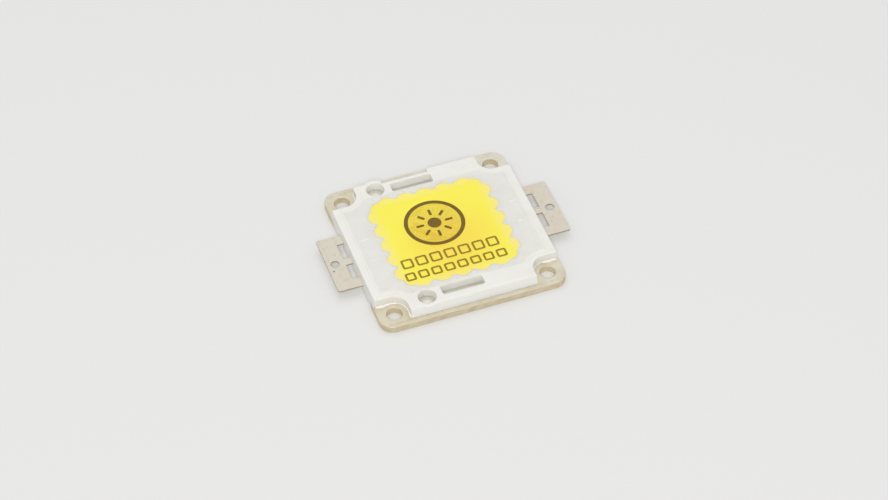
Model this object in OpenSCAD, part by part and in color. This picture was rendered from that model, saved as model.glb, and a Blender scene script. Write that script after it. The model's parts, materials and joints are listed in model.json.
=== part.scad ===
// High-power chip-on-board LED module: a plated copper base, a moulded plastic frame with a
// lead on each side, a die array wired in strings, a phosphor gel and a protective film.
// Origin at the middle of the base's underside, +X towards the negative lead, +Z up.

/* [Base plate] */
// Width of the copper plate along X
plate_w = 40; // [39:0.1:44]
// Depth of the copper plate along Y
plate_d = 40; // [39:0.1:44]
// Thickness of the copper plate
plate_t = 1.55; // [1:0.05:3]
// Radius of the plate's corners
plate_corner_r = 3; // [1:0.1:3.2]
// Distance of the screw holes from the plate's edges
screw_in = 3.5; // [3.3:0.05:3.7]
// Diameter of the screw holes
screw_hole_d = 3.3; // [2.5:0.1:4]
// Length of the recess in each side edge that the plastic fills
recess_len = 24; // [16:0.5:25]
// Depth of that recess
recess_depth = 1; // [0.5:0.1:1.4]

/* [Frame] */
// Height of the frame above the plate
frame_t = 2; // [1.8:0.05:3]
// Width of plate left bare in front of the frame and behind it
ledge_w = 1.05; // [0.6:0.05:1.3]
// How far the side walls lean in from foot to top
draft_x = 0.4; // [0.1:0.05:0.6]
// How far the front and rear walls lean in from foot to top
draft_y = 0.75; // [0.2:0.05:0.9]
// Gap between the plastic in the plate's recess and the plate's underside
wrap_lift = 0.2; // [0.1:0.05:0.5]
// Radius of the corner cut-outs round the screw axes
ear_cut_r = 3; // [2.6:0.1:3.4]
// Width of the lowered strip along each side of the top face
rim_w = 1.4; // [0.8:0.1:2]
// Depth of that strip
rim_drop = 0.12; // [0.05:0.01:0.2]
// Radius of the lowered ring round each screw axis
rim_ring_r = 4.1; // [3.7:0.1:4.5]

/* [Window] */
// Side of the square window over the die array
window_w = 24.4; // [22.8:0.1:24.8]
// Radius of the window's corners
window_r = 1.8; // [1:0.1:2]
// Wall left between neighbouring scallops
scallop_wall = 0.2; // [0.1:0.05:0.8]
// How far the scallops reach past the window at the lead sides
scallop_out_x = 1.3; // [1.1:0.1:1.6]
// How far the scallops reach past the window in front and behind
scallop_out_y = 0.9; // [0.5:0.1:1.1]

/* [Frame openings] */
// Diameter of the two locating holes
pin_hole_d = 3.8; // [3:0.1:4]
// Wall of the collar round each locating hole
pin_collar_w = 0.85; // [0.5:0.05:0.9]
// Distance of the locating holes from the middle, towards the positive lead
pin_hole_x = 9.3; // [8.9:0.1:9.5]
// Wall between the window's scallops and the locating holes
pin_hole_wall = 1; // [0.8:0.05:1.2]
// Length of the two slots
slot_len = 9; // [6:0.1:9.2]
// Width of the two slots
slot_w = 2.4; // [1.6:0.1:2.4]
// Distance of the slots from the middle, towards the positive lead
slot_x = 1.5; // [1.4:0.1:2]
// Wall between the window's scallops and the slots
slot_wall = 1.1; // [1:0.05:1.3]
// Radius of the slots' corners
slot_r = 0.4; // [0.2:0.1:0.8]
// Length of the notch in the rear edge
notch_len = 10.2; // [6:0.1:11]
// Depth of that notch from the frame's top edge
notch_depth = 0.9; // [0.4:0.1:1]
// Distance of that notch from the middle, towards the positive lead
notch_x = 2.4; // [1:0.1:3]
// Length of the moulded marks beside the window
mark_len = 1.5; // [0.8:0.1:2]
// Width of those marks
mark_w = 0.5; // [0.3:0.05:0.7]
// Depth of those marks
mark_depth = 0.12; // [0.05:0.01:0.3]
// Distance from the scallops' reach to the marks' middle
mark_out = 2.5; // [2:0.1:3]
// Distance between the two marks on one side
mark_pitch = 5.9; // [4:0.1:8]

/* [Leads] */
// Thickness of the lead strip
lead_t = 0.3; // [0.2:0.05:0.4]
// Plastic between the plate and the lead
lead_lift = 0.25; // [0.2:0.05:0.6]
// How far each lead stands out past the plate
lead_out = 5.2; // [4.6:0.1:8]
// Length of the lead's outer strip
lead_len = 14.8; // [13:0.1:16]
// Width of the lead's outer strip
strip_w = 3.7; // [2.8:0.1:3.8]
// Radius of the outer strip's corners
strip_r = 0.35; // [0.1:0.05:0.6]
// Width of the leg in the middle of the lead
mid_leg_w = 1.8; // [1:0.1:2.4]
// Width of the leg at each end of the lead
end_leg_w = 2.4; // [1.5:0.1:2.6]
// Diameter of the wire hole in each lead
wire_hole_d = 1.9; // [1:0.1:2.4]
// Distance of the wire hole from the lead's outer edge
wire_hole_in = 1.7; // [1.4:0.1:2]
// Width of the lead's bar inside the frame
bar_w = 2.4; // [1.5:0.1:3]
// Length of the bond fingers from that bar
finger_len = 1.95; // [1:0.05:2.2]
// Metal of a finger beside the wires that it takes
finger_side = 0.25; // [0.1:0.05:0.4]
// Plastic between a finger's tip and the window
finger_back = 0.25; // [0.15:0.05:0.4]

/* [Die array] */
// Number of strings, and of dies in each string
die_n = 10; // [6:2:10]
// Distance from the window's edge to the outermost dies
array_in = 2.18; // [1.8:0.02:3]
// Side of a die
die_w = 1.14; // [0.8:0.02:1.3]
// Thickness of a die
die_t = 0.15; // [0.1:0.01:0.2]
// Diameter of the bond wire
wire_d = 0.05; // [0.03:0.005:0.06]
// Distance of a bond from the die's edge
bond_in = 0.2; // [0.15:0.01:0.25]
// Rise of the wire loops between dies
loop_rise = 0.35; // [0.25:0.05:0.5]
// Rise of the wire loops to the leads
end_loop_rise = 0.75; // [0.7:0.05:0.9]
// Distance of a lead's bond from the finger's tip
finger_bond_in = 0.4; // [0.3:0.05:0.5]

/* [Gel and film] */
// Depth of the gel's surface below the frame's top
gel_drop = 0.1; // [0.05:0.01:0.2]
// Margin of the frame left bare beside the film
film_in_x = 1.8; // [1.5:0.1:2.5]
// Margin of the frame left bare in front of the film and behind it
film_in_y = 4.1; // [4.1:0.1:4.6]
// Thickness of the protective film
film_t = 0.05; // [0.04:0.01:0.1]
// Radius of the film's corner cut-outs round the screw axes
film_cut_r = 4.6; // [4.5:0.1:5]

/* [Hidden] */
$fn = 48;
// Overlap of cutting solids past the faces they cut
cut = 1;
// Sides of a wire's section
WIRE_FN = 16;
// Straight stretch left between two rounds that would otherwise meet
least_flat = 0.02;
STRINGS = [for (s = [1:die_n]) s < 10 ? str("0", s) : str(s)];

// Levels
frame_top = plate_t + frame_t;
lead_bottom = plate_t + lead_lift;
lead_top = lead_bottom + lead_t;
die_top = plate_t + die_t;
gel_top = frame_top - gel_drop;
// Half widths of the frame at its foot and at its top
foot_x = plate_w / 2;
foot_y = plate_d / 2 - ledge_w;
top_x = foot_x - draft_x;
top_y = foot_y - draft_y;
// Screw axes
screw_x = plate_w / 2 - screw_in;
screw_y = plate_d / 2 - screw_in;
// Dies, which fill the window up to a margin
die_last = (die_n - 1) / 2;
die_pitch = (window_w - 2 * array_in - die_w) / (die_n - 1);
// Window and scallops: one scallop takes the wires of two strings
window_x = window_w / 2;
scallop_last = (die_n / 2 - 1) / 2;
scallop_pitch = 2 * die_pitch;
scallop_r = (scallop_pitch - scallop_wall) / 2;
reach_x = window_x + scallop_out_x;
reach_y = window_x + scallop_out_y;
// Middles of the openings and marks
pin_hole_y = reach_y + pin_hole_wall + pin_hole_d / 2;
slot_y = reach_y + slot_wall + slot_w / 2;
mark_x = reach_x + mark_out;
// Lead: outer tip, inner edge of the outer strip, finger tips and bar
tip_x = plate_w / 2 + lead_out;
strip_in_x = tip_x - strip_w;
finger_tip_x = window_x + finger_back;
bar_in_x = finger_tip_x + finger_len;
bar_out_x = bar_in_x + bar_w;
finger_w = die_pitch + 2 * finger_side;
finger_r = 0.3;
bar_len = 2 * scallop_last * scallop_pitch + finger_w;
leg_y = (lead_len - end_leg_w) / 2;
// Bonds
bond_x = die_w / 2 - bond_in;
end_bond_x = die_last * die_pitch + bond_x;
finger_bond_x = finger_tip_x + finger_bond_in;

// ---- Helpers ----

// Children at the four screw axes
module at_screws() {
    for (sx = [-1, 1])
        for (sy = [-1, 1])
            translate([sx * screw_x, sy * screw_y])
                children();
}

// Rectangle centred on the origin with rounded corners
module rounded_rect(w, d, r) {
    square([w - 2 * r, d], center = true);
    square([w, d - 2 * r], center = true);
    for (sx = [-1, 1])
        for (sy = [-1, 1])
            translate([sx * (w / 2 - r), sy * (d / 2 - r)])
                circle(r = r);
}

// Row of scallops along Y, at distance x
module scallop_row(x) {
    for (k = [-scallop_last:scallop_last])
        translate([x, k * scallop_pitch])
            circle(r = scallop_r);
}

module scallops_2d() {
    for (a = [0, 180])
        rotate(a)
            scallop_row(reach_x - scallop_r);
    for (a = [90, 270])
        rotate(a)
            scallop_row(reach_y - scallop_r);
}

// ---- Base plate ----

module side_recess_2d() {
    for (sx = [-1, 1])
        translate([sx * plate_w / 2, 0])
            square([2 * recess_depth, recess_len], center = true);
}

module base_plate() {
    color([0.86, 0.83, 0.74])
        linear_extrude(plate_t)
            difference() {
                rounded_rect(plate_w, plate_d, plate_corner_r);
                side_recess_2d();
                at_screws()
                    circle(d = screw_hole_d);
            }
}

// ---- Moulded frame ----

// Block with leaning walls, where two profiles cross
module frame_block() {
    intersection() {
        translate([0, plate_d / 2, 0])
            rotate([90, 0, 0])
                linear_extrude(plate_d)
                    polygon([
                        [-foot_x, plate_t], [foot_x, plate_t],
                        [top_x, frame_top], [-top_x, frame_top]
                    ]);
        translate([-plate_w / 2, 0, 0])
            rotate([90, 0, 90])
                linear_extrude(plate_w)
                    polygon([
                        [-foot_y, plate_t], [foot_y, plate_t],
                        [top_y, frame_top], [-top_y, frame_top]
                    ]);
    }
}

// Plastic that fills the recess in the plate's side edges
module side_wraps() {
    for (sx = [-1, 1])
        translate([sx * (plate_w / 2 - recess_depth / 2), 0, (wrap_lift + plate_t) / 2])
            cube([recess_depth, recess_len, plate_t - wrap_lift], center = true);
}

// Children at the two locating holes
module at_pin_holes() {
    for (sy = [-1, 1])
        translate([-pin_hole_x, sy * pin_hole_y, plate_t])
            children();
}

module pin_collars() {
    at_pin_holes()
        cylinder(d = pin_hole_d + 2 * pin_collar_w, h = frame_t);
}

// Corner cut-out: round about the screw axis, open to both outer edges
module ear_cut_2d() {
    reach = screw_in + cut;
    circle(r = ear_cut_r);
    translate([0, -ear_cut_r])
        square([reach, reach + ear_cut_r]);
    translate([-ear_cut_r, 0])
        square([reach + ear_cut_r, reach]);
}

module ear_cuts() {
    for (sx = [0, 1])
        for (sy = [0, 1])
            mirror([sx, 0, 0])
                mirror([0, sy, 0])
                    translate([screw_x, screw_y, plate_t])
                        linear_extrude(frame_t + cut)
                            ear_cut_2d();
}

// Everything above the lowered rim and outside the raised middle of the top face
module rim_step() {
    translate([0, 0, frame_top - rim_drop])
        linear_extrude(rim_drop + cut)
            difference() {
                square([plate_w + cut, plate_d + cut], center = true);
                difference() {
                    square([2 * (top_x - rim_w), plate_d + 2 * cut], center = true);
                    at_screws()
                        circle(r = rim_ring_r);
                }
            }
}

module slots() {
    for (sy = [-1, 1])
        translate([-slot_x, sy * slot_y, plate_t])
            linear_extrude(frame_t + cut)
                rounded_rect(slot_len, slot_w, slot_r);
}

module rear_notch() {
    translate([-notch_x - notch_len / 2, top_y - notch_depth, plate_t])
        cube([notch_len, plate_d / 2, frame_t + cut]);
}

module marks() {
    for (sx = [-1, 1])
        for (sy = [-1, 1])
            translate([sx * mark_x, sy * mark_pitch / 2, frame_top - mark_depth])
                linear_extrude(mark_depth + cut)
                    rounded_rect(mark_len, mark_w, (mark_w - least_flat) / 2);
}

// Window down to the plate, and the shallower scallops down to the lead fingers
module window_space(top) {
    translate([0, 0, plate_t])
        linear_extrude(top - plate_t)
            rounded_rect(window_w, window_w, window_r);
    translate([0, 0, lead_top])
        linear_extrude(top - lead_top)
            scallops_2d();
}

module frame() {
    color([0.93, 0.93, 0.91])
        difference() {
            union() {
                frame_block();
                pin_collars();
                side_wraps();
            }
            window_space(frame_top + cut);
            ear_cuts();
            rim_step();
            at_pin_holes()
                cylinder(d = pin_hole_d, h = frame_t + cut);
            slots();
            rear_notch();
            marks();
            lead(0);
            lead(180);
        }
}

// ---- Leads ----

module lead_2d() {
    difference() {
        union() {
            translate([tip_x - strip_w / 2, 0])
                rounded_rect(strip_w, lead_len, strip_r);
            translate([bar_out_x - bar_w / 2, -mid_leg_w / 2])
                square([strip_in_x + strip_r - bar_out_x + bar_w, mid_leg_w]);
            for (sy = [-1, 1])
                translate([bar_out_x - bar_w / 2, sy * leg_y - end_leg_w / 2])
                    square([strip_in_x + strip_r - bar_out_x + bar_w / 2, end_leg_w]);
            translate([bar_in_x, -bar_len / 2])
                square([bar_w, bar_len]);
            for (k = [-scallop_last:scallop_last])
                finger_2d(k * scallop_pitch);
        }
        translate([tip_x - wire_hole_in, 0])
            circle(d = wire_hole_d);
    }
}

// Bond finger that reaches from the bar to the edge of the window
module finger_2d(y) {
    // The far rounds lie within the bar
    len = finger_len + 2 * finger_r;
    translate([finger_tip_x + len / 2, y])
        rounded_rect(len, finger_w, finger_r);
}

module lead(turn) {
    color([0.84, 0.81, 0.74])
        rotate(turn)
            translate([0, 0, lead_bottom])
                linear_extrude(lead_t)
                    lead_2d();
}

// ---- Die array ----

// Middle of string s across the array, counted from the front
function string_y(s) = (s - 1 - die_last) * die_pitch;

module die_string(s) {
    color([0.75, 0.85, 0.92])
        for (k = [-die_last:die_last])
            translate([k * die_pitch - die_w / 2, string_y(s) - die_w / 2, plate_t])
                cube([die_w, die_w, die_t]);
}

// Full ring of wire upright on the X axis, through p and q with its top above the chord
module wire_ring(p, q, rise) {
    chord = norm(q - p);
    radius = (chord * chord / 4 + rise * rise) / (2 * rise);
    up = [p.y - q.y, q.x - p.x] / chord;
    middle = (p + q) / 2 - (radius - rise) * up;
    translate([middle.x, 0, middle.y])
        rotate([90, 0, 0])
            rotate_extrude()
                translate([radius, 0])
                    circle(d = wire_d, $fn = WIRE_FN);
}

// Space above the dies and above the lead fingers, where the loops show
module loop_space() {
    span = 2 * window_x;
    translate([-window_x, -die_w / 2, die_top])
        cube([span, die_w, gel_top - die_top]);
    for (side = [0, 1])
        mirror([side, 0, 0])
            translate([window_x, -die_w / 2, lead_top])
                cube([2 * scallop_out_x, die_w, gel_top - lead_top]);
}

module wire_string(s) {
    color([0.9, 0.75, 0.35])
        translate([0, string_y(s), 0])
            intersection() {
                union() {
                    for (k = [-die_last:die_last - 1])
                        wire_ring(
                            [k * die_pitch + bond_x, die_top],
                            [(k + 1) * die_pitch - bond_x, die_top],
                            loop_rise
                        );
                    for (side = [0, 1])
                        mirror([side, 0, 0])
                            wire_ring(
                                [end_bond_x, die_top],
                                [finger_bond_x, lead_top],
                                end_loop_rise
                            );
                }
                loop_space();
            }
}

// ---- Gel and film ----

module phosphor_gel() {
    color([0.98, 0.86, 0.25])
        difference() {
            window_space(gel_top);
            for (s = [1:die_n]) {
                die_string(s);
                wire_string(s);
            }
        }
}

module protective_film() {
    color([0.95, 0.94, 0.85, 0.4])
        translate([0, 0, frame_top])
            linear_extrude(film_t)
                difference() {
                    square(2 * [top_x - film_in_x, top_y - film_in_y], center = true);
                    at_screws()
                        circle(r = film_cut_r);
                }
}

// ---- Assembly ----

base_plate();
frame();
lead(180);  // lead_positive
lead(0);  // lead_negative
phosphor_gel();
protective_film();
for (s = [1:die_n]) {
    die_string(s);
    wire_string(s);
}
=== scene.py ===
import json
import math

import bmesh
import bpy
from mathutils import Matrix, Vector


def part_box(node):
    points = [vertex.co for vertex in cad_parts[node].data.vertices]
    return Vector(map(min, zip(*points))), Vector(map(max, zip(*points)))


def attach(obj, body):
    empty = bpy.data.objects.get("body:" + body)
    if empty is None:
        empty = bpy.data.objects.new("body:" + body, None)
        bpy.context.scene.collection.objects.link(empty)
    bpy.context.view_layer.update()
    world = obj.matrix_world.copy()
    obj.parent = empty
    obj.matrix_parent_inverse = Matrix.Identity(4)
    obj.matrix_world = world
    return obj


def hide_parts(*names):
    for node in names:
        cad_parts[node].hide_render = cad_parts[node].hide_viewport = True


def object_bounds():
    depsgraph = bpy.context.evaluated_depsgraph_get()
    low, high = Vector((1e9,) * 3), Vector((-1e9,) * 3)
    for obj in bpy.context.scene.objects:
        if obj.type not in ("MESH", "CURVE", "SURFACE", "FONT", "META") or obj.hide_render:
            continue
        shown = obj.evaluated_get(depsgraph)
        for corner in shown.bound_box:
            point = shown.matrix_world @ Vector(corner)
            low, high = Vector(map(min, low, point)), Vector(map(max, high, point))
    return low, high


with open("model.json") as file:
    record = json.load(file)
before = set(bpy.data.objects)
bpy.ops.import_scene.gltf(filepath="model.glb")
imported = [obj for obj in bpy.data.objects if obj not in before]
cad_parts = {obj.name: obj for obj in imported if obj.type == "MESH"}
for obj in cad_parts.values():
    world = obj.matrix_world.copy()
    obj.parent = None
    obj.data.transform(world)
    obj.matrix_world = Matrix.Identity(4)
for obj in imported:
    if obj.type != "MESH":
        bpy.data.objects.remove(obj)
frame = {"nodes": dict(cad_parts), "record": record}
cad_low, cad_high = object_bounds()

MM = 0.001
BODY = "root"

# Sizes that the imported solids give
PLATE_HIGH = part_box("base_plate")[1]
FRAME_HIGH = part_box("frame")[1]
GEL_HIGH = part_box("phosphor_gel")[1]
FILM_LOW, FILM_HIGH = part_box("protective_film")
LEAD_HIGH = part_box("lead_positive")[1]
PLATE_TOP = PLATE_HIGH.z
MOUNTS = {m["name"]: m for m in frame["record"]["mounts"]}
SCREW = MOUNTS["screw_holes"]["dims"]
SCREW_X = SCREW["spacing_x_mm"] * MM / 2
SCREW_Y = SCREW["spacing_y_mm"] * MM / 2

# Window outline, as in the solids
SCALLOPS = 5
SCALLOP_PITCH = 4.2 * MM
SCALLOP_R = 2.0 * MM
SCALLOP_X = GEL_HIGH.x - SCALLOP_R
SCALLOP_Y = GEL_HIGH.y - SCALLOP_R
WINDOW_HALF = 12.2 * MM
WINDOW_R = 1.8 * MM

# How far the outer edges of the moulded and stamped pieces are eased
PLATE_EASE = 0.12 * MM
FRAME_EASE = 0.05 * MM
LEAD_EASE = 0.04 * MM

# Gel: mesh counts, how far its surface rises at the walls, and how late and how tight it does
GEL_TURNS = 720
GEL_RINGS = 26
GEL_RISE = 0.03 * MM
RISE_POWER = 8
RING_CROWDING = 1.6

# Film: radius of the cuts round the screws, and steps of each cut
FILM_CUT_R = 4.6 * MM
FILM_CUT_STEPS = 24

# Print: a plain ring with a sun in it, and two rows of open squares
INK_T = 0.01 * MM
RING_MIDDLE = Vector((-0.95, 2.75)) * MM
RING_R = 6.35 * MM
RING_STROKE = 0.85 * MM
RING_POINTS = 128
SUN_R = 1.45 * MM
SUN_POINTS = 48
RAYS = 8
RAY_MIDDLE = 3.1 * MM
RAY_LEN = 1.7 * MM
RAY_W = 0.6 * MM
RAY_ROUND = 0.25 * MM
SQUARE_STROKE = 0.45 * MM
SQUARE_OUTER_R = 0.45 * MM
SQUARE_INNER_R = 0.15 * MM
# In millimetres: gap between squares, and each row's number, left, right, low and high
SQUARE_GAP = 0.6
SQUARE_ROWS = (
    (7, -11.6, 9.9, -7.6, -5.0),
    (8, -12.0, 10.4, -11.0, -8.8),
)

# Walls round the ears: radius, and where the side and front walls end, short of the plate's edges
EAR_R = 3.0 * MM
EAR_END_X = PLATE_HIGH.x - 0.5 * MM
EAR_END_Y = PLATE_HIGH.y - 1.4 * MM
EAR_STEPS = 20

# Flash at those walls, in millimetres: width and height with their ripple, and depth in the wall
FLASH_W, FLASH_W_RIPPLE = 0.2, 0.07
FLASH_T, FLASH_T_RIPPLE = 0.14, 0.03
FLASH_ROOT = 0.05
# One wider tongue, with its place and spread along the wall
TONGUE_W, TONGUE_PLACE, TONGUE_SPREAD = 0.3, 0.16, 0.12
# Points of the flash's section, as shares of its width and height
FLASH_SECTION = ((0.35, 0.7), (0.85, 0.35), (1.0, 0.0))

# Skins in the frame's openings, a hair inside them, in millimetres
SKIN_T = 0.04
HOLE_SKIN_X, HOLE_SKIN_Y, HOLE_SKIN_R = -9.3, 16, 1.88
SLOT_SKIN_X, SLOT_SKIN_Y = -1.5, 15.4
SLOT_SKIN_LEN, SLOT_SKIN_W, SLOT_SKIN_R = 8.96, 2.36, 0.38

# Specks, in millimetres: x, y, z and radius
SPECKS = (
    (-24.35, -1.8, 2.1, 0.2),
    (-4.9, -15.6, 1.55, 0.34),
    (-0.6, -15.1, 1.55, 0.18),
)

# Camera, fitted to the photo
AZIMUTH = math.radians(-19.76)
ELEVATION = math.radians(46.8)
ROLL = math.radians(-0.39)
DISTANCE = 532.4 * MM
TARGET = Vector((-1.28, -3.81, 2.0)) * MM
FOCAL_PX = 2600.9
PHOTO_WIDTH = 888
SENSOR_WIDTH = 36

# Light: strength of the surroundings, and place, size and power of the lamps
SKY_STRENGTH = 0.55
OVERHEAD_PLACE = Vector((0.05, 0.35, 0.75))
OVERHEAD_SIZE = 0.9
OVERHEAD_POWER = 1.25
FILL_DISTANCE = 1.6
FILL_SIZE = 0.6
FILL_POWER = 11.4

# Floor: half its side, and the gap that keeps it off the plate's underside
FLOOR_HALF = 4.0
FLOOR_GAP = 0.03 * MM


# ---- Node materials ----

class Material:
    """A Principled material in object coordinates, with short calls for its nodes."""

    def __init__(self, name, **sockets):
        self.material = bpy.data.materials.new(name)
        self.material.use_nodes = True
        self.tree = self.material.node_tree
        self.shader = self.tree.nodes["Principled BSDF"]
        texture = self.tree.nodes.new("ShaderNodeTexCoord")
        self.coords = texture.outputs["Object"]
        self.normals = texture.outputs["Normal"]
        for key, value in sockets.items():
            self.shader.inputs[key.replace("_", " ")].default_value = value

    def node(self, kind, inputs=(), **settings):
        made = self.tree.nodes.new(kind)
        for key, value in settings.items():
            setattr(made, key, value)
        for key, value in dict(inputs).items():
            if isinstance(value, bpy.types.NodeSocket):
                self.tree.links.new(value, made.inputs[key])
            else:
                made.inputs[key].default_value = value
        return made

    def stretched(self, scale, turn=0.0):
        """Object coordinates times a scale for each axis."""
        inputs = {"Vector": self.coords, "Scale": scale, "Rotation": (0, 0, turn)}
        return self.node("ShaderNodeMapping", inputs).outputs["Vector"]

    def noise(self, size, detail=3.0, rough=0.5, vector=None):
        """Noise whose features are about size metres across."""
        inputs = {
            "Vector": vector or self.coords, "Scale": 1 / size,
            "Detail": detail, "Roughness": rough,
        }
        return self.node("ShaderNodeTexNoise", inputs).outputs["Fac"]

    def spread(self, value, low, high, to_low=0.0, to_high=1.0):
        """A value from low to high, spread over another range and held to it."""
        inputs = {
            "Value": value, "From Min": low, "From Max": high,
            "To Min": to_low, "To Max": to_high,
        }
        return self.node("ShaderNodeMapRange", inputs, clamp=True).outputs["Result"]

    def maths(self, operation, a, b=0.0):
        return self.node("ShaderNodeMath", {0: a, 1: b}, operation=operation).outputs[0]

    def mix(self, factor, a, b):
        """Colour a, going over to colour b as the factor rises."""
        made = self.node("ShaderNodeMix", data_type="RGBA")
        for index, value in ((0, factor), (6, a), (7, b)):
            if isinstance(value, bpy.types.NodeSocket):
                self.tree.links.new(value, made.inputs[index])
            else:
                made.inputs[index].default_value = value
        return made.outputs[2]

    def place(self):
        """Where a point lies, axis by axis."""
        return self.node("ShaderNodeSeparateXYZ", {"Vector": self.coords}).outputs

    def level(self):
        """1 on level faces, 0 on upright ones."""
        split = self.node("ShaderNodeSeparateXYZ", {"Vector": self.normals})
        return self.spread(self.maths("ABSOLUTE", split.outputs["Z"]), 0.5, 0.9)

    def bump(self, height, distance, strength=1.0, normal=None):
        inputs = {"Height": height, "Distance": distance, "Strength": strength}
        if normal is not None:
            inputs["Normal"] = normal
        return self.node("ShaderNodeBump", inputs).outputs["Normal"]

    def put(self, socket, value):
        self.tree.links.new(value, self.shader.inputs[socket])


def rgb(red, green, blue):
    """Linear colour with alpha from sRGB values of 0 to 255."""
    def linear(v):
        v /= 255
        return v / 12.92 if v <= 0.04045 else ((v + 0.055) / 1.055) ** 2.4
    return (linear(red), linear(green), linear(blue), 1.0)


def plated_metal():
    """Satin silver plate over copper: rolling grain and stains, with painted shade in a patchy
    band at the foot of the frame.
    """
    m = Material("plated_metal", Metallic=0.35, Specular_IOR_Level=0.5)
    grain = m.noise(0.25 * MM, 2.0, 0.6, m.stretched((0.06, 1.0, 1.0), 0.35))
    stain = m.spread(m.noise(5 * MM, 4.0, 0.6), 0.42, 0.72)
    cloud = m.spread(m.noise(1.4 * MM, 3.0), 0.3, 0.7)
    place = m.place()
    # Painted shade: the plate's top is painted darker towards the near left corner and lighter
    # towards the far right, standing in for how it reflects its surroundings.
    far = m.spread(m.maths("ADD", place["X"], place["Y"]), -25 * MM, 30 * MM)
    plate = m.mix(far, rgb(217, 208, 184), rgb(224, 221, 208))
    base = m.mix(stain, plate, rgb(203, 193, 160))
    base = m.mix(m.maths("MULTIPLY", cloud, 0.3), base, rgb(228, 223, 208))
    # Painted shade: a patchy brownish band on the plate at the foot of the frame's front and back
    # walls, where shade falls in the crease.
    across = m.maths("ABSOLUTE", place["Y"])
    wall = FRAME_HIGH.y
    ledge = m.spread(across, wall - 0.1 * MM, wall)
    foot = m.maths("MULTIPLY", ledge, m.spread(across, wall, wall + 0.35 * MM, 1.0, 0.0))
    wall_foot_shade = m.maths("MULTIPLY", foot, m.spread(m.noise(0.6 * MM, 3.0), 0.42, 0.62))
    base = m.mix(m.maths("MULTIPLY", wall_foot_shade, 0.6), base, rgb(190, 164, 124))
    # Painted shade: upright faces, the plate's cut edges, are painted darker and warmer than its
    # top.
    upright_face_shade = m.mix(cloud, rgb(224, 212, 182), rgb(208, 192, 158))
    m.put("Base Color", m.mix(m.level(), upright_face_shade, base))
    m.put("Roughness", m.spread(grain, 0.2, 0.8, 0.36, 0.52))
    tooth = m.bump(m.noise(0.12 * MM, 2.0), 0.004 * MM, 0.6)
    m.put("Normal", m.bump(grain, 0.012 * MM, 0.7, tooth))
    return m.material


def tinned_strip():
    """Dull tin over the lead strip, with drawn lines and pinkish copper showing through."""
    m = Material("tinned_strip", Metallic=0.35, Specular_IOR_Level=0.5)
    lines = m.noise(0.2 * MM, 2.0, 0.6, m.stretched((1.0, 0.05, 1.0)))
    worn = m.spread(m.noise(3.5 * MM, 3.0, 0.55), 0.5, 0.75)
    base = m.mix(worn, rgb(222, 216, 202), rgb(222, 204, 188))
    base = m.mix(m.maths("MULTIPLY", lines, 0.3), base, rgb(204, 196, 178))
    smudge = m.maths("MULTIPLY", m.spread(m.noise(1.1 * MM, 3.0), 0.56, 0.7), 0.4)
    base = m.mix(smudge, base, rgb(190, 180, 160))
    # Upright faces are painted dark copper-olive: partly the bare copper of the sheared edges,
    # mostly painted shade on faces that turn away from the light.
    m.put("Base Color", m.mix(m.level(), rgb(172, 152, 122), base))
    m.put("Roughness", m.spread(lines, 0.25, 0.75, 0.42, 0.6))
    m.put("Normal", m.bump(lines, 0.01 * MM, 0.8))
    return m.material


def white_plastic():
    """Moulded white plastic, slightly translucent, with a fine texture and soft flow marks."""
    m = Material("white_plastic", Roughness=0.42, Specular_IOR_Level=0.45, Subsurface_Weight=0.5)
    m.shader.inputs["Subsurface Radius"].default_value = (1.0, 0.95, 0.85)
    m.shader.inputs["Subsurface Scale"].default_value = 1.2 * MM
    flow = m.noise(6 * MM, 3.0, 0.5, m.stretched((0.6, 1.4, 1.0), 0.4))
    m.put("Base Color", m.mix(m.spread(flow, 0.35, 0.7), rgb(239, 238, 233), rgb(235, 233, 226)))
    speckle = m.noise(0.09 * MM, 2.0, 0.6)
    m.put("Roughness", m.spread(speckle, 0.3, 0.7, 0.36, 0.52))
    m.put("Normal", m.bump(flow, 0.03 * MM, 0.5, m.bump(speckle, 0.003 * MM, 0.6)))
    return m.material


def flash_plastic():
    """The same plastic, drawn out thin and glossy."""
    m = Material("flash_plastic", Roughness=0.2, Specular_IOR_Level=0.6)
    cloud = m.noise(0.5 * MM, 3.0)
    m.put("Base Color", m.mix(cloud, rgb(250, 248, 240), rgb(242, 238, 224)))
    m.put("Normal", m.bump(cloud, 0.02 * MM, 0.5))
    return m.material


def speck_resin():
    """Burnt brown resin."""
    m = Material("speck_resin", Roughness=0.5)
    cloud = m.noise(0.15 * MM, 3.0)
    m.put("Base Color", m.mix(cloud, rgb(150, 138, 112), rgb(108, 96, 74)))
    return m.material


def phosphor():
    """Phosphor in silicone: deepest near the middle, paler where it thins in the scallops."""
    m = Material("phosphor", Roughness=0.38, Specular_IOR_Level=0.4, Subsurface_Weight=0.2)
    m.shader.inputs["Subsurface Radius"].default_value = (1.0, 0.8, 0.15)
    m.shader.inputs["Subsurface Scale"].default_value = 0.9 * MM
    place = m.place()
    reach = m.maths("MAXIMUM", m.maths("ABSOLUTE", place["X"]), m.maths("ABSOLUTE", place["Y"]))
    thin = m.spread(reach, 10.6 * MM, 13.4 * MM)
    core = {0: m.coords, 1: (0.5 * MM, -2.5 * MM, 3.4 * MM)}
    away = m.node("ShaderNodeVectorMath", core, operation="DISTANCE").outputs["Value"]
    deep = m.spread(away, 4 * MM, 12 * MM, 1.0, 0.0)
    grains = m.noise(0.16 * MM, 3.0, 0.7)
    base = m.mix(deep, rgb(255, 242, 56), rgb(252, 224, 46))
    base = m.mix(thin, base, rgb(253, 236, 140))
    m.put("Base Color", m.mix(m.maths("MULTIPLY", grains, 0.1), base, rgb(240, 200, 20)))
    m.put("Roughness", m.spread(grains, 0.3, 0.7, 0.34, 0.5))
    fine = m.bump(grains, 0.004 * MM, 0.5)
    m.put("Normal", m.bump(m.noise(2.6 * MM, 2.0), 0.05 * MM, 0.5, fine))
    return m.material


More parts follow.
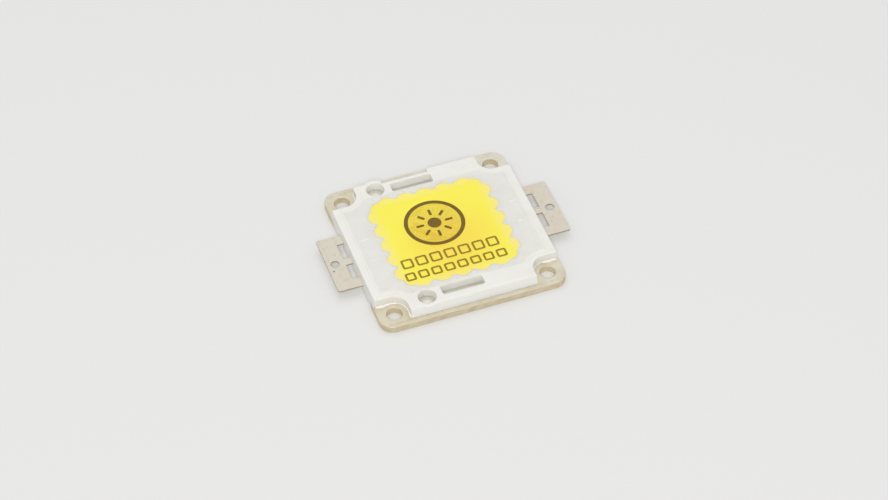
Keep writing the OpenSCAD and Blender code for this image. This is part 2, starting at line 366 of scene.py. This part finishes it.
def clear_film():
    """Thin clear film, a little hazy, with faint waves where it doesn't lie flat."""
    m = Material("clear_film", Roughness=0.16, Alpha=0.03, Specular_IOR_Level=0.6)
    waves = m.noise(7 * MM, 2.0, 0.4)
    haze = m.noise(0.5 * MM, 2.0)
    m.put("Base Color", m.mix(haze, rgb(253, 253, 250), rgb(248, 247, 240)))
    m.put("Roughness", m.spread(haze, 0.3, 0.7, 0.12, 0.24))
    m.put("Normal", m.bump(waves, 0.12 * MM, 0.5))
    m.material.surface_render_method = "BLENDED"
    return m.material


def ink(name, dark, light, alpha):
    """Screen-printed ink: thinner here and there, with a slightly broken surface."""
    m = Material(name, Roughness=0.5, Alpha=alpha, Specular_IOR_Level=0.35)
    patch = m.noise(0.35 * MM, 3.0, 0.6)
    m.put("Base Color", m.mix(m.spread(patch, 0.35, 0.75), dark, light))
    m.put("Roughness", m.spread(patch, 0.3, 0.7, 0.42, 0.62))
    m.put("Normal", m.bump(patch, 0.003 * MM, 0.5))
    return m.material


def sapphire():
    """Polished die faces: pale blue, clouded by their contacts."""
    m = Material("sapphire", Metallic=0.2, Roughness=0.12, Specular_IOR_Level=0.7)
    contacts = m.spread(m.noise(0.12 * MM, 1.0), 0.4, 0.6)
    m.put("Base Color", m.mix(contacts, rgb(186, 208, 222), rgb(150, 176, 204)))
    return m.material


def gold():
    """Drawn gold wire."""
    m = Material("gold", Metallic=1.0, Roughness=0.22)
    drawn = m.noise(0.05 * MM, 1.0)
    m.put("Base Color", m.mix(drawn, rgb(240, 206, 120), rgb(226, 184, 88)))
    return m.material


def paper_floor():
    """Pale board under the object, with a barely seen tooth."""
    m = Material("paper_floor", Roughness=0.85, Specular_IOR_Level=0.15)
    tooth = m.noise(1.2 * MM, 3.0, 0.6)
    m.put("Base Color", m.mix(tooth, rgb(233, 233, 232), rgb(231, 231, 230)))
    m.put("Normal", m.bump(tooth, 0.01 * MM, 0.3))
    return m.material


# ---- Mesh helpers ----

def link_object(name, data):
    made = bpy.data.objects.new(name, data)
    bpy.context.scene.collection.objects.link(made)
    return made


def object_from(name, bm, material):
    """Turns a bmesh into an object of one material."""
    mesh = bpy.data.meshes.new(name)
    bm.to_mesh(mesh)
    bm.free()
    mesh.materials.append(material)
    return link_object(name, mesh)


def add_piece(name, bm, material, replaces=()):
    """Turns a bmesh into a piece that rides on the body."""
    piece = object_from(name, bm, material)
    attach(piece, BODY)
    if replaces:
        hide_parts(*replaces)
    return piece


def smooth_by_angle(bm, degrees):
    """Smooth faces, with the edges sharper than the angle kept sharp."""
    limit = math.radians(degrees)
    for face in bm.faces:
        face.smooth = True
    for edge in bm.edges:
        edge.smooth = len(edge.link_faces) == 2 and edge.calc_face_angle() < limit


def eased_copy(name, node, width, material):
    """The node's own form, its outer edges eased as moulding and stamping leave them."""
    bm = bmesh.new()
    bm.from_mesh(frame["nodes"][node].data)
    bmesh.ops.remove_doubles(bm, verts=bm.verts, dist=1e-7)
    bmesh.ops.dissolve_limit(bm, angle_limit=math.radians(0.5), verts=bm.verts, edges=bm.edges)
    outer = [e for e in bm.edges if is_outer_edge(e)]
    bmesh.ops.bevel(
        bm, geom=outer, offset=width, segments=3, profile=0.5, affect="EDGES", clamp_overlap=False
    )
    bmesh.ops.remove_doubles(bm, verts=bm.verts, dist=1e-8)
    smooth_by_angle(bm, 35)
    piece = add_piece(name, bm, material, [node])
    weights = piece.modifiers.new("even_faces", "WEIGHTED_NORMAL")
    weights.weight = 100
    weights.keep_sharp = True
    return piece


def is_outer_edge(edge):
    """Whether two faces meet at an edge that stands out."""
    return len(edge.link_faces) == 2 and edge.calc_face_angle_signed() > math.radians(30)


def plate_from_rings(bm, outer, inner, low, high):
    """A flat ring between two outlines of as many points each."""
    count = len(outer)
    layers = [
        [bm.verts.new((p.x, p.y, z)) for p in ring]
        for ring, z in ((outer, low), (outer, high), (inner, high), (inner, low))
    ]
    for k in range(4):
        a, b = layers[k], layers[(k + 1) % 4]
        for i in range(count):
            j = (i + 1) % count
            bm.faces.new((a[i], a[j], b[j], b[i]))


def solid_from_outline(bm, outline, low, high):
    """A flat closed solid over an outline."""
    bottom = [bm.verts.new((p.x, p.y, low)) for p in outline]
    top = [bm.verts.new((p.x, p.y, high)) for p in outline]
    count = len(outline)
    bm.faces.new(list(reversed(bottom)))
    bm.faces.new(top)
    for i in range(count):
        j = (i + 1) % count
        bm.faces.new((bottom[i], bottom[j], top[j], top[i]))


def direction(angle):
    return Vector((math.cos(angle), math.sin(angle)))


def quarter_signs(quarter):
    """Signs of x and y in one quarter of the plane, counted anticlockwise."""
    return 1 if quarter in (0, 3) else -1, 1 if quarter < 2 else -1


def circle_points(middle, radius, count):
    return [middle + direction(2 * math.pi * i / count) * radius for i in range(count)]


def rounded_box(middle, width, depth, radius, turn=0.0, steps=5):
    """Outline of a rectangle with rounded corners, turned about its middle."""
    points = []
    for quarter in range(4):
        sx, sy = quarter_signs(quarter)
        corner = Vector((sx * (width / 2 - radius), sy * (depth / 2 - radius)))
        for i in range(steps + 1):
            points.append(corner + direction((quarter + i / steps) * math.pi / 2) * radius)
    spin = Matrix.Rotation(turn, 2)
    return [middle + spin @ p for p in points]


# ---- The object's pieces ----

def window_reach(angle):
    """How far the window's outline lies from the middle in one direction."""
    ray = direction(angle)
    reach = WINDOW_HALF / max(abs(ray.x), abs(ray.y))
    hit = ray * reach
    corner = WINDOW_HALF - WINDOW_R
    if abs(hit.x) > corner and abs(hit.y) > corner:
        middle = Vector((math.copysign(corner, hit.x), math.copysign(corner, hit.y)))
        reach = ray_to_circle(ray, middle, WINDOW_R)
    for k in range(SCALLOPS):
        along = (k - (SCALLOPS - 1) / 2) * SCALLOP_PITCH
        for middle in (
            Vector((SCALLOP_X, along)), Vector((-SCALLOP_X, along)),
            Vector((along, SCALLOP_Y)), Vector((along, -SCALLOP_Y)),
        ):
            reach = max(reach, ray_to_circle(ray, middle, SCALLOP_R))
    return reach


def ray_to_circle(ray, middle, radius):
    """Distance from the origin along a ray to the far side of a circle, or 0 where it misses."""
    along = ray.dot(middle)
    inside = radius ** 2 - (middle.length_squared - along ** 2)
    if inside < 0 or along < 0:
        return 0.0
    return along + math.sqrt(inside)


def make_gel(material):
    """The gel's visible form, with its surface drawn up a little at the walls."""
    bm = bmesh.new()
    angles = [2 * math.pi * i / GEL_TURNS for i in range(GEL_TURNS)]
    reaches = [window_reach(a) for a in angles]
    top = GEL_HIGH.z - GEL_RISE
    middle = bm.verts.new((0, 0, top))
    layers = []
    for ring in range(1, GEL_RINGS + 1):
        share = 1 - (1 - ring / GEL_RINGS) ** RING_CROWDING
        height = top + GEL_RISE * share ** RISE_POWER
        layers.append([
            bm.verts.new((math.cos(a) * reach * share, math.sin(a) * reach * share, height))
            for a, reach in zip(angles, reaches)
        ])
    skirt = [bm.verts.new((v.co.x, v.co.y, LEAD_HIGH.z)) for v in layers[-1]]
    for i in range(GEL_TURNS):
        j = (i + 1) % GEL_TURNS
        bm.faces.new((middle, layers[0][i], layers[0][j]))
        for a, b in zip(layers, layers[1:]):
            bm.faces.new((a[i], b[i], b[j], a[j]))
        bm.faces.new((layers[-1][i], skirt[i], skirt[j], layers[-1][j]))
    bm.faces.new(list(reversed(skirt)))
    smooth_by_angle(bm, 50)
    return add_piece("gel_surface", bm, material, ["phosphor_gel"])


def only_seen(piece):
    """Keeps a sheet thinner than a hair from dimming what lies under it."""
    piece.visible_shadow = False
    piece.visible_diffuse = False
    return piece


def film_outline():
    """The film: a rectangle whose corners are cut round the screws."""
    half_x, half_y = FILM_HIGH.x, FILM_HIGH.y
    points = []
    for quarter in range(4):
        sx, sy = quarter_signs(quarter)
        middle = Vector((sx * SCREW_X, sy * SCREW_Y))
        down = math.sqrt(FILM_CUT_R ** 2 - (half_x - SCREW_X) ** 2)
        inward = math.sqrt(FILM_CUT_R ** 2 - (half_y - SCREW_Y) ** 2)
        first = Vector((sx * half_x, sy * (SCREW_Y - down)))
        last = Vector((sx * (SCREW_X - inward), sy * half_y))
        if quarter in (1, 3):
            first, last = last, first
        a0 = math.atan2(first.y - middle.y, first.x - middle.x)
        a1 = math.atan2(last.y - middle.y, last.x - middle.x)
        turn = (a1 - a0 + math.pi) % (2 * math.pi) - math.pi
        for i in range(FILM_CUT_STEPS + 1):
            points.append(middle + direction(a0 + turn * i / FILM_CUT_STEPS) * FILM_CUT_R)
    return points


def make_film(material):
    """The film's sheet, which ends below the layers of ink."""
    bm = bmesh.new()
    solid_from_outline(bm, film_outline(), FILM_LOW.z, FILM_HIGH.z - 3 * INK_T)
    smooth_by_angle(bm, 35)
    return only_seen(add_piece("film_sheet", bm, material, ["protective_film"]))


def add_ink(name, shapes, material, rings=(), below=False):
    """One piece of print from outlines and rings, on the film, or pressed into it."""
    low = FILM_HIGH.z - (3 if below else 2) * INK_T
    high = low + INK_T
    bm = bmesh.new()
    for outline in shapes:
        solid_from_outline(bm, outline, low, high)
    for outer, inner in rings:
        plate_from_rings(bm, outer, inner, low, high)
    bmesh.ops.recalc_face_normals(bm, faces=bm.faces)
    return only_seen(add_piece(name, bm, material))


def make_print(dark, pale, tint):
    """A ring with a plain sun in it over a tint, and two rows of open squares."""
    outer = circle_points(RING_MIDDLE, RING_R, RING_POINTS)
    inner = circle_points(RING_MIDDLE, RING_R - RING_STROKE, RING_POINTS)
    sun = []
    for k in range(RAYS):
        turn = 2 * math.pi * k / RAYS
        middle = RING_MIDDLE + Matrix.Rotation(turn, 2) @ Vector((RAY_MIDDLE, 0))
        sun.append(rounded_box(middle, RAY_LEN, RAY_W, RAY_ROUND, turn))
    sun.append(circle_points(RING_MIDDLE, SUN_R, SUN_POINTS))
    add_ink("print_ring", sun, dark, [(outer, inner)])
    add_ink("print_tint", [inner], tint, below=True)
    squares = []
    for number, left, right, low, high in SQUARE_ROWS:
        pitch = (right - left) / number
        width, depth = (pitch - SQUARE_GAP) * MM, (high - low) * MM
        hole_w, hole_d = width - 2 * SQUARE_STROKE, depth - 2 * SQUARE_STROKE
        for k in range(number):
            middle = Vector((left + (k + 0.5) * pitch, (low + high) / 2)) * MM
            squares.append((
                rounded_box(middle, width, depth, SQUARE_OUTER_R),
                rounded_box(middle, hole_w, hole_d, SQUARE_INNER_R),
            ))
    add_ink("print_rows", [], pale, squares)


def ear_wall():
    """Foot of the wall round one ear, with the way into the ear at each point."""
    points = []
    for i in range(EAR_STEPS):
        x = EAR_END_X + (SCREW_X - EAR_END_X) * i / EAR_STEPS
        points.append((Vector((x, SCREW_Y - EAR_R)), Vector((0, 1))))
    for i in range(EAR_STEPS):
        out = direction(-math.pi / 2 * (1 + i / EAR_STEPS))
        points.append((Vector((SCREW_X, SCREW_Y)) + out * EAR_R, -out))
    for i in range(EAR_STEPS + 1):
        y = SCREW_Y + (EAR_END_Y - SCREW_Y) * i / EAR_STEPS
        points.append((Vector((SCREW_X - EAR_R, y)), Vector((1, 0))))
    return points


def flash_ripple(along, corner):
    """Three waves along a wall, out of step from corner to corner."""
    long_wave = math.sin(9 * along + corner)
    middle_wave = 0.6 * math.sin(23 * along + 2.1 * corner)
    return long_wave + middle_wave + 0.3 * math.sin(51 * along)


def make_flash(material):
    """Thin flash of plastic that crept over the plate at the foot of the wall round each ear."""
    points = ear_wall()
    for corner, (sx, sy) in enumerate(((-1, -1), (1, -1), (-1, 1), (1, 1))):
        bm = bmesh.new()
        rows = []
        for i, (foot, way) in enumerate(points):
            along = i / (len(points) - 1)
            ripple = flash_ripple(along, corner)
            tongue = TONGUE_W * math.exp(-((along - TONGUE_PLACE) / TONGUE_SPREAD) ** 2)
            width = (FLASH_W + FLASH_W_RIPPLE * ripple + tongue) * MM
            height = (FLASH_T + FLASH_T_RIPPLE * ripple) * MM
            root = foot - way * FLASH_ROOT * MM
            section = [(root, 0.0), (root, height)]
            section += [(foot + way * width * out, height * up) for out, up in FLASH_SECTION]
            rows.append([
                bm.verts.new((sx * p.x, sy * p.y, PLATE_TOP + z)) for p, z in section
            ])
        for a, b in zip(rows, rows[1:]):
            for k in range(len(a)):
                j = (k + 1) % len(a)
                bm.faces.new((a[k], a[j], b[j], b[k]))
        bm.faces.new(rows[0])
        bm.faces.new(rows[-1])
        bmesh.ops.recalc_face_normals(bm, faces=bm.faces)
        smooth_by_angle(bm, 45)
        add_piece(f"flash_{corner + 1}", bm, material)


def make_skins(material):
    """Skins of plastic over the plate at the bottom of the locating holes and slots."""
    bm = bmesh.new()
    for sy in (-1, 1):
        hole_middle = Vector((HOLE_SKIN_X, sy * HOLE_SKIN_Y)) * MM
        slot_middle = Vector((SLOT_SKIN_X, sy * SLOT_SKIN_Y)) * MM
        slot_size = (SLOT_SKIN_LEN * MM, SLOT_SKIN_W * MM, SLOT_SKIN_R * MM)
        for outline in (
            circle_points(hole_middle, HOLE_SKIN_R * MM, 64),
            rounded_box(slot_middle, *slot_size),
        ):
            solid_from_outline(bm, outline, PLATE_TOP, PLATE_TOP + SKIN_T * MM)
    smooth_by_angle(bm, 35)
    add_piece("skins", bm, material)


def make_specks(material):
    """Specks of burnt resin: one on the positive lead, two on the plate in the front slot."""
    bm = bmesh.new()
    for x, y, z, radius in SPECKS:
        made = bmesh.ops.create_icosphere(bm, subdivisions=3, radius=radius * MM)
        for vert in made["verts"]:
            wave = 1 + 0.18 * math.sin(5000 * vert.co.x + 900 * vert.co.y + radius)
            vert.co = Vector((vert.co.x * wave, vert.co.y / wave, vert.co.z * 0.25))
            vert.co += Vector((x, y, z)) * MM
    for face in bm.faces:
        face.smooth = True
    add_piece("specks", bm, material)


def dress_node(node, material):
    """Gives a piece that stays as packed its material."""
    slots = frame["nodes"][node].data.materials
    slots.clear()
    slots.append(material)


# ---- Camera, light and floor ----

def camera_back():
    """Direction from the object to the camera."""
    return Vector((
        math.sin(AZIMUTH) * math.cos(ELEVATION),
        -math.cos(AZIMUTH) * math.cos(ELEVATION),
        math.sin(ELEVATION),
    ))


def make_camera():
    camera = link_object("camera", bpy.data.cameras.new("camera"))
    camera.data.sensor_width = SENSOR_WIDTH
    camera.data.lens = FOCAL_PX / PHOTO_WIDTH * camera.data.sensor_width
    camera.data.clip_start = 0.01
    camera.data.clip_end = 20
    back = camera_back()
    right = (-back).cross(Vector((0, 0, 1))).normalized()
    up = right.cross(-back)
    rolled_right = right * math.cos(ROLL) + up * math.sin(ROLL)
    rolled_up = up * math.cos(ROLL) - right * math.sin(ROLL)
    turn = Matrix((rolled_right, rolled_up, back)).transposed()
    camera.matrix_world = Matrix.Translation(TARGET + back * DISTANCE) @ turn.to_4x4()
    bpy.context.scene.camera = camera


def area_light(name, place, size, power):
    """A round lamp that faces the object."""
    light = bpy.data.lights.new(name, "AREA")
    light.shape = "DISK"
    light.size = size
    light.energy = power
    lamp = link_object(name, light)
    lamp.location = place
    lamp.rotation_euler = place.to_track_quat("Z", "Y").to_euler()


def make_light():
    world = bpy.data.worlds.new("studio")
    bpy.context.scene.world = world
    world.use_nodes = True
    background = world.node_tree.nodes["Background"]
    background.inputs["Color"].default_value = (1, 0.998, 0.99, 1)
    background.inputs["Strength"].default_value = SKY_STRENGTH
    area_light("overhead", OVERHEAD_PLACE, OVERHEAD_SIZE, OVERHEAD_POWER)
    fill_place = TARGET + camera_back() * FILL_DISTANCE
    area_light("front_fill", fill_place, FILL_SIZE, FILL_POWER)


def make_floor(material):
    bm = bmesh.new()
    bmesh.ops.create_grid(bm, x_segments=2, y_segments=2, size=FLOOR_HALF)
    floor = object_from("floor", bm, material)
    floor.location.z = cad_low.z - FLOOR_GAP
    floor.visible_diffuse = False


# ---- Build ----

bpy.context.scene.view_settings.view_transform = "Standard"
make_camera()
make_light()
make_floor(paper_floor())

metal = plated_metal()
tin = tinned_strip()
eased_copy("plate_body", "base_plate", PLATE_EASE, metal)
eased_copy("frame_body", "frame", FRAME_EASE, white_plastic())
for side in ("positive", "negative"):
    eased_copy(f"lead_strip_{side}", f"lead_{side}", LEAD_EASE, tin)
make_gel(phosphor())
resin = flash_plastic()
make_flash(resin)
make_skins(resin)
make_specks(speck_resin())
make_film(clear_film())
make_print(
    ink("ring_ink", rgb(104, 78, 10), rgb(130, 102, 18), 0.88),
    ink("row_ink", rgb(138, 110, 24), rgb(160, 132, 34), 0.8),
    ink("tint_ink", rgb(206, 160, 40), rgb(196, 150, 36), 0.24),
)
die_material = sapphire()
wire_material = gold()
for node_name in frame["nodes"]:
    if node_name.startswith("die_string"):
        dress_node(node_name, die_material)
    elif node_name.startswith("wire_string"):
        dress_node(node_name, wire_material)
